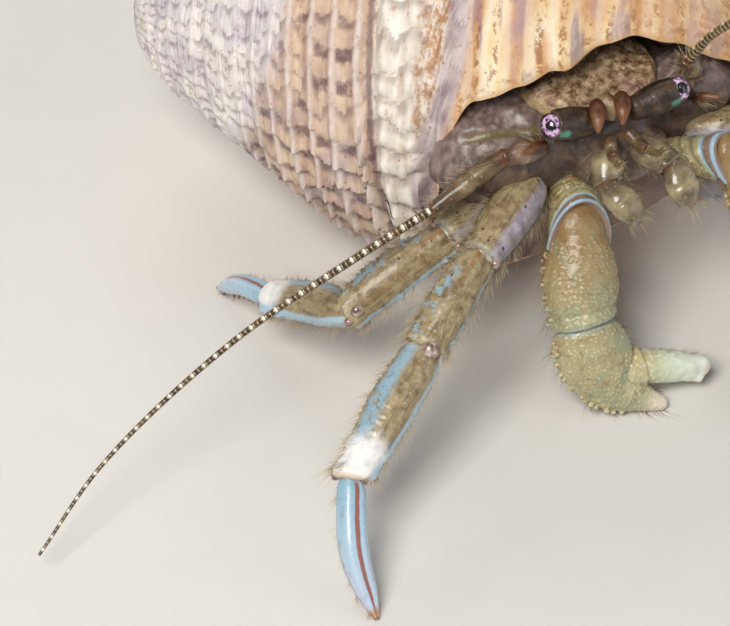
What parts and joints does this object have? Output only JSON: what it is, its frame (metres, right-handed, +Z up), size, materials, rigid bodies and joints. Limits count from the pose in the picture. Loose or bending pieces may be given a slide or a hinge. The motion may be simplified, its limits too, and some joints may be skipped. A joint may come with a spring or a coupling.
{
  "type": "hermit crab model",
  "caption": "Life-size still model of a small hairy hermit crab standing in a ridged, coiled snail shell, with blue-banded legs, stalked eyes and long feelers.",
  "frame": {"origin": "bottom centre of the whole animal's box, on the floor", "axes": "+Z up; the head faces -Y and the crab's right side is -X; the shell's point lies towards -X and +Y"},
  "size_m": [0.056, 0.0408, 0.0261],
  "materials": {
    "shell": "worn chalky snail shell with coloured cords",
    "carapace": "mottled semi-gloss cuticle",
    "flesh": "soft translucent skin with fine hairs",
    "stalk": "dark glossy cuticle",
    "cornea": "polished dark eye surface",
    "acicle": "glossy amber cuticle",
    "antenna": "banded glossy feeler",
    "mouthparts": "glassy translucent cuticle",
    "claw": "granular olive cuticle",
    "fingers": "pale hard claw finger",
    "leg": "semi-gloss olive cuticle with blue bands",
    "dactyl": "pale blue cuticle with a red-brown stripe"
  },
  "bodies": {
    "root": {"shell": "shell", "eyestalk_right": "stalk", "cornea_right": "cornea", "ocular_acicle_right": "acicle", "antennule_right": "stalk", "antennule_flagellum_right": "antenna", "antenna_base_right": "antenna", "antenna_peduncle_right": "antenna", "antenna_flagellum_right_1": "antenna", "antenna_flagellum_right_2": "antenna", "antenna_flagellum_right_3": "antenna", "antennal_acicle_right": "acicle", "maxilliped_right": "mouthparts", "maxilliped_palp_right": "mouthparts", "cheliped_merus_right": "claw", "cheliped_carpus_right": "claw", "cheliped_palm_right": "claw", "cheliped_dactyl_right": "fingers", "leg_1_merus_right": "leg", "leg_1_carpus_right": "leg", "leg_1_propodus_right": "leg", "leg_1_dactyl_right": "dactyl", "leg_2_merus_right": "leg", "leg_2_carpus_right": "leg", "leg_2_propodus_right": "leg", "leg_2_dactyl_right": "dactyl", "eyestalk_left": "stalk", "cornea_left": "cornea", "ocular_acicle_left": "acicle", "antennule_left": "stalk", "antennule_flagellum_left": "antenna", "antenna_base_left": "antenna", "antenna_peduncle_left": "antenna", "antenna_flagellum_left_1": "antenna", "antenna_flagellum_left_2": "antenna", "antenna_flagellum_left_3": "antenna", "antennal_acicle_left": "acicle", "maxilliped_left": "mouthparts", "maxilliped_palp_left": "mouthparts", "cheliped_merus_left": "claw", "cheliped_carpus_left": "claw", "cheliped_palm_left": "claw", "cheliped_dactyl_left": "fingers", "leg_1_merus_left": "leg", "leg_1_carpus_left": "leg", "leg_1_propodus_left": "leg", "leg_1_dactyl_left": "dactyl", "leg_2_merus_left": "leg", "leg_2_carpus_left": "leg", "leg_2_propodus_left": "leg", "leg_2_dactyl_left": "dactyl", "shield": "carapace", "thorax": "flesh", "abdomen": "flesh"}
  },
  "joints": []
}
